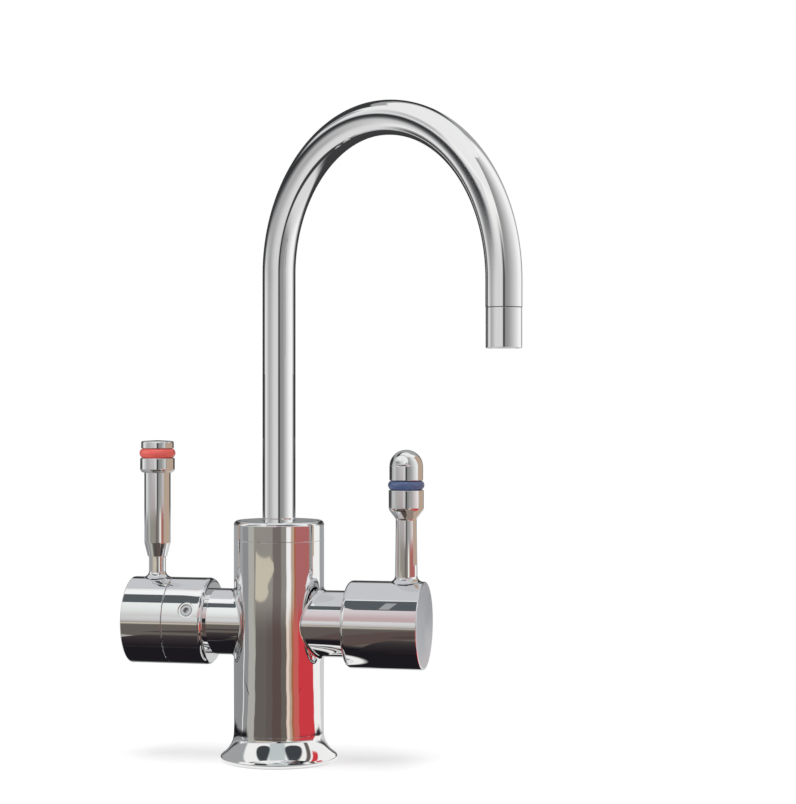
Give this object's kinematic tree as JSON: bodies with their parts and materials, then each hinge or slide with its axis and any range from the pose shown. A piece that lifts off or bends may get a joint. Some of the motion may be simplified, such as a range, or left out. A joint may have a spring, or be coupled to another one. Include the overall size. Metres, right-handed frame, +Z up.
{
  "type": "boiling water tap",
  "caption": "Chromed boiling water tap with a swivelling gooseneck spout, a locking hot lever, a cold lever and a threaded shank for a worktop hole.",
  "frame": {"origin": "on the tap's own axis, at the worktop surface under the base seal", "axes": "+Z up along the column, +X along the handle axis towards the cold lever, -Y to the front"},
  "size_m": [0.1817, 0.1031, 0.3531],
  "materials": {
    "chrome": "polished",
    "satin_disc": "satin",
    "steel": "satin",
    "brass": "machined",
    "copper": "drawn",
    "rubber": "matte",
    "white_plastic": "matte",
    "ceramic": "lapped",
    "red_ring": "satin",
    "blue_ring": "satin"
  },
  "bodies": {
    "root": {"base_seal": "rubber", "base_flange": "chrome", "tap_body": "chrome", "top_cap": "chrome", "cap_wiper_ring": "rubber", "mounting_shank": "brass", "deck_rubber_washer": "rubber", "deck_steel_washer": "steel", "lock_nut": "brass", "cold_supply_tail": "copper", "tank_feed_tail": "copper", "hot_return_tail": "copper", "tail_seals": "rubber", "spout_lower_bush": "white_plastic", "spout_upper_bush": "white_plastic", "hot_neck": "chrome", "hot_neck_seal": "rubber", "hot_seat_seal": "rubber", "hot_cartridge": "brass", "hot_fixed_disc": "ceramic", "hot_lock_ring": "steel", "hot_fixed_collar": "chrome", "hot_grub_screw": "steel", "cold_neck": "chrome", "cold_neck_seal": "rubber", "cold_seat_seal": "rubber", "cold_cartridge": "brass", "cold_fixed_disc": "ceramic"},
    "spout": {"spout_tube": "chrome", "spout_foot": "brass", "spout_seals": "rubber", "outlet_nozzle": "chrome", "nozzle_seal": "rubber", "flow_straightener": "white_plastic"},
    "hot_lever": {"hot_moving_disc": "ceramic", "hot_spindle": "brass", "hot_spindle_seal": "rubber", "hot_circlip": "steel", "hot_hub": "chrome", "hot_hub_screw": "steel", "hot_end_disc": "satin_disc", "hot_stem": "chrome", "hot_stem_nut": "brass", "hot_lock_spring": "steel"},
    "hot_grip": {"hot_sleeve": "chrome", "hot_collar": "chrome", "hot_ring": "red_ring", "hot_cap": "chrome", "hot_lock_rod": "steel"},
    "cold_lever": {"cold_moving_disc": "ceramic", "cold_spindle": "brass", "cold_spindle_seal": "rubber", "cold_circlip": "steel", "cold_hub": "chrome", "cold_hub_screw": "steel", "cold_end_disc": "satin_disc", "cold_stem": "chrome", "cold_ring": "blue_ring", "cold_cap": "chrome"}
  },
  "joints": [
    {"name": "spout_swivel", "type": "hinge", "parent": "root", "child": "spout", "pos_m": [0, 0, 0.08], "axis": [0, 0, 1], "continuous": true},
    {"name": "hot_lever_turn", "type": "hinge", "parent": "root", "child": "hot_lever", "pos_m": [-0.055, 0, 0.0589], "axis": [1, 0, 0], "range_deg": [0, 90]},
    {"name": "hot_sleeve_lift", "type": "slide", "parent": "hot_lever", "child": "hot_grip", "axis": [0, 0, 1], "range_m": [0, 0.004], "stiffness_N_per_m": 400, "springref_m": -0.004, "deforming": ["hot_lock_spring"]},
    {"name": "cold_lever_turn", "type": "hinge", "parent": "root", "child": "cold_lever", "pos_m": [0.055, 0, 0.0589], "axis": [1, 0, 0], "range_deg": [0, 90]}
  ]
}
